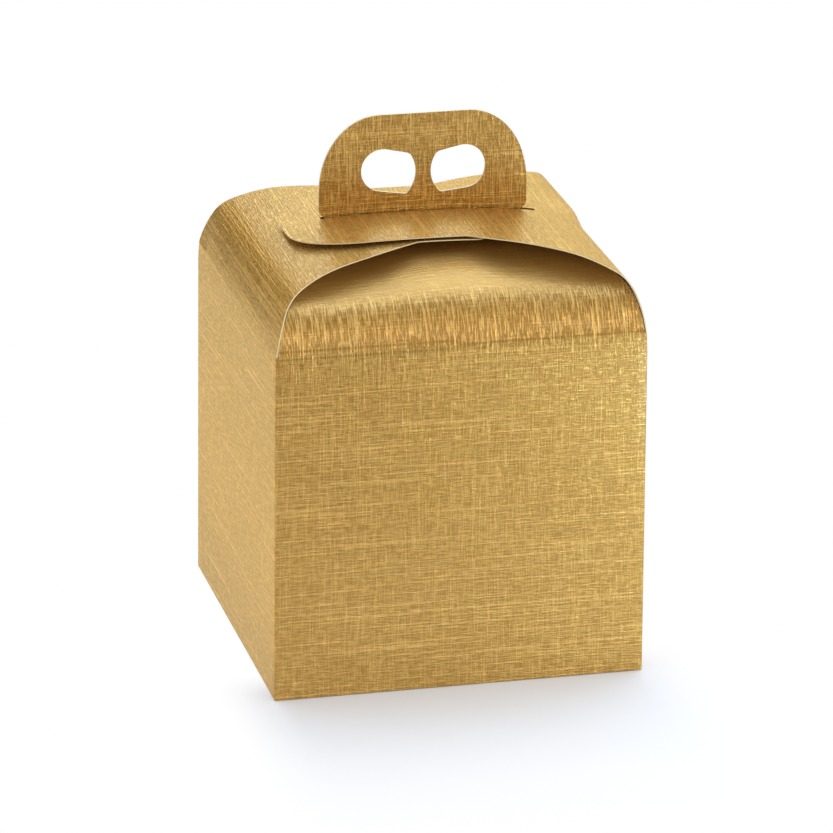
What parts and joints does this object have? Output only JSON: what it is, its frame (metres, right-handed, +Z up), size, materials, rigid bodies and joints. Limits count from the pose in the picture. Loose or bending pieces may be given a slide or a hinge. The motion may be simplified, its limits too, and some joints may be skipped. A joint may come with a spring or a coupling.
{
  "type": "panettone box",
  "caption": "Square gold folding carton with curved overlapping roof flaps and an upright carry handle with finger holes, for holding a panettone or cake.",
  "frame": {"origin": "middle of the carton's base, at the level it stands on", "axes": "+Z up, -Y to the front wall that the handle faces, +X to the right wall whose roof flap lies on top"},
  "size_m": [0.2, 0.2, 0.286],
  "materials": {
    "gold_board": "satin metallic gold with a fine linen emboss outside, plain white inside",
    "glue": "dried cream-coloured glue"
  },
  "bodies": {
    "carton": {"front_panel": "gold_board", "back_panel": "gold_board", "left_panel": "gold_board", "right_panel": "gold_board", "glue_flap": "gold_board", "glue_line": "glue", "main_base_flap": "gold_board", "lock_base_flap": "gold_board", "left_base_flap": "gold_board", "right_base_flap": "gold_board", "front_handle_flap": "gold_board", "back_handle_flap": "gold_board"},
    "right_roof": {"right_roof_flap": "gold_board"},
    "left_roof": {"left_roof_flap": "gold_board"},
    "front_tab": {"front_handle": "gold_board"},
    "back_tab": {"back_handle": "gold_board"}
  },
  "joints": [
    {"name": "right_roof_crease", "type": "hinge", "parent": "carton", "child": "right_roof", "pos_m": [0.1, 0, 0.19], "axis": [0, 1, 0], "range_deg": [0, 140]},
    {"name": "left_roof_crease", "type": "hinge", "parent": "carton", "child": "left_roof", "pos_m": [-0.1, 0, 0.19], "axis": [0, -1, 0], "range_deg": [0, 70]},
    {"name": "front_handle_crease", "type": "hinge", "parent": "carton", "child": "front_tab", "pos_m": [0.0022, -0.00075, 0.233], "axis": [1, 0, 0], "range_deg": [0, 85]},
    {"name": "back_handle_crease", "type": "hinge", "parent": "carton", "child": "back_tab", "pos_m": [0.0022, 0.00075, 0.233], "axis": [-1, 0, 0], "range_deg": [0, 85]}
  ],
  "couplings": [
    {"joint": "left_roof_crease", "follows": "right_roof_crease", "ratio": 0.5}
  ]
}
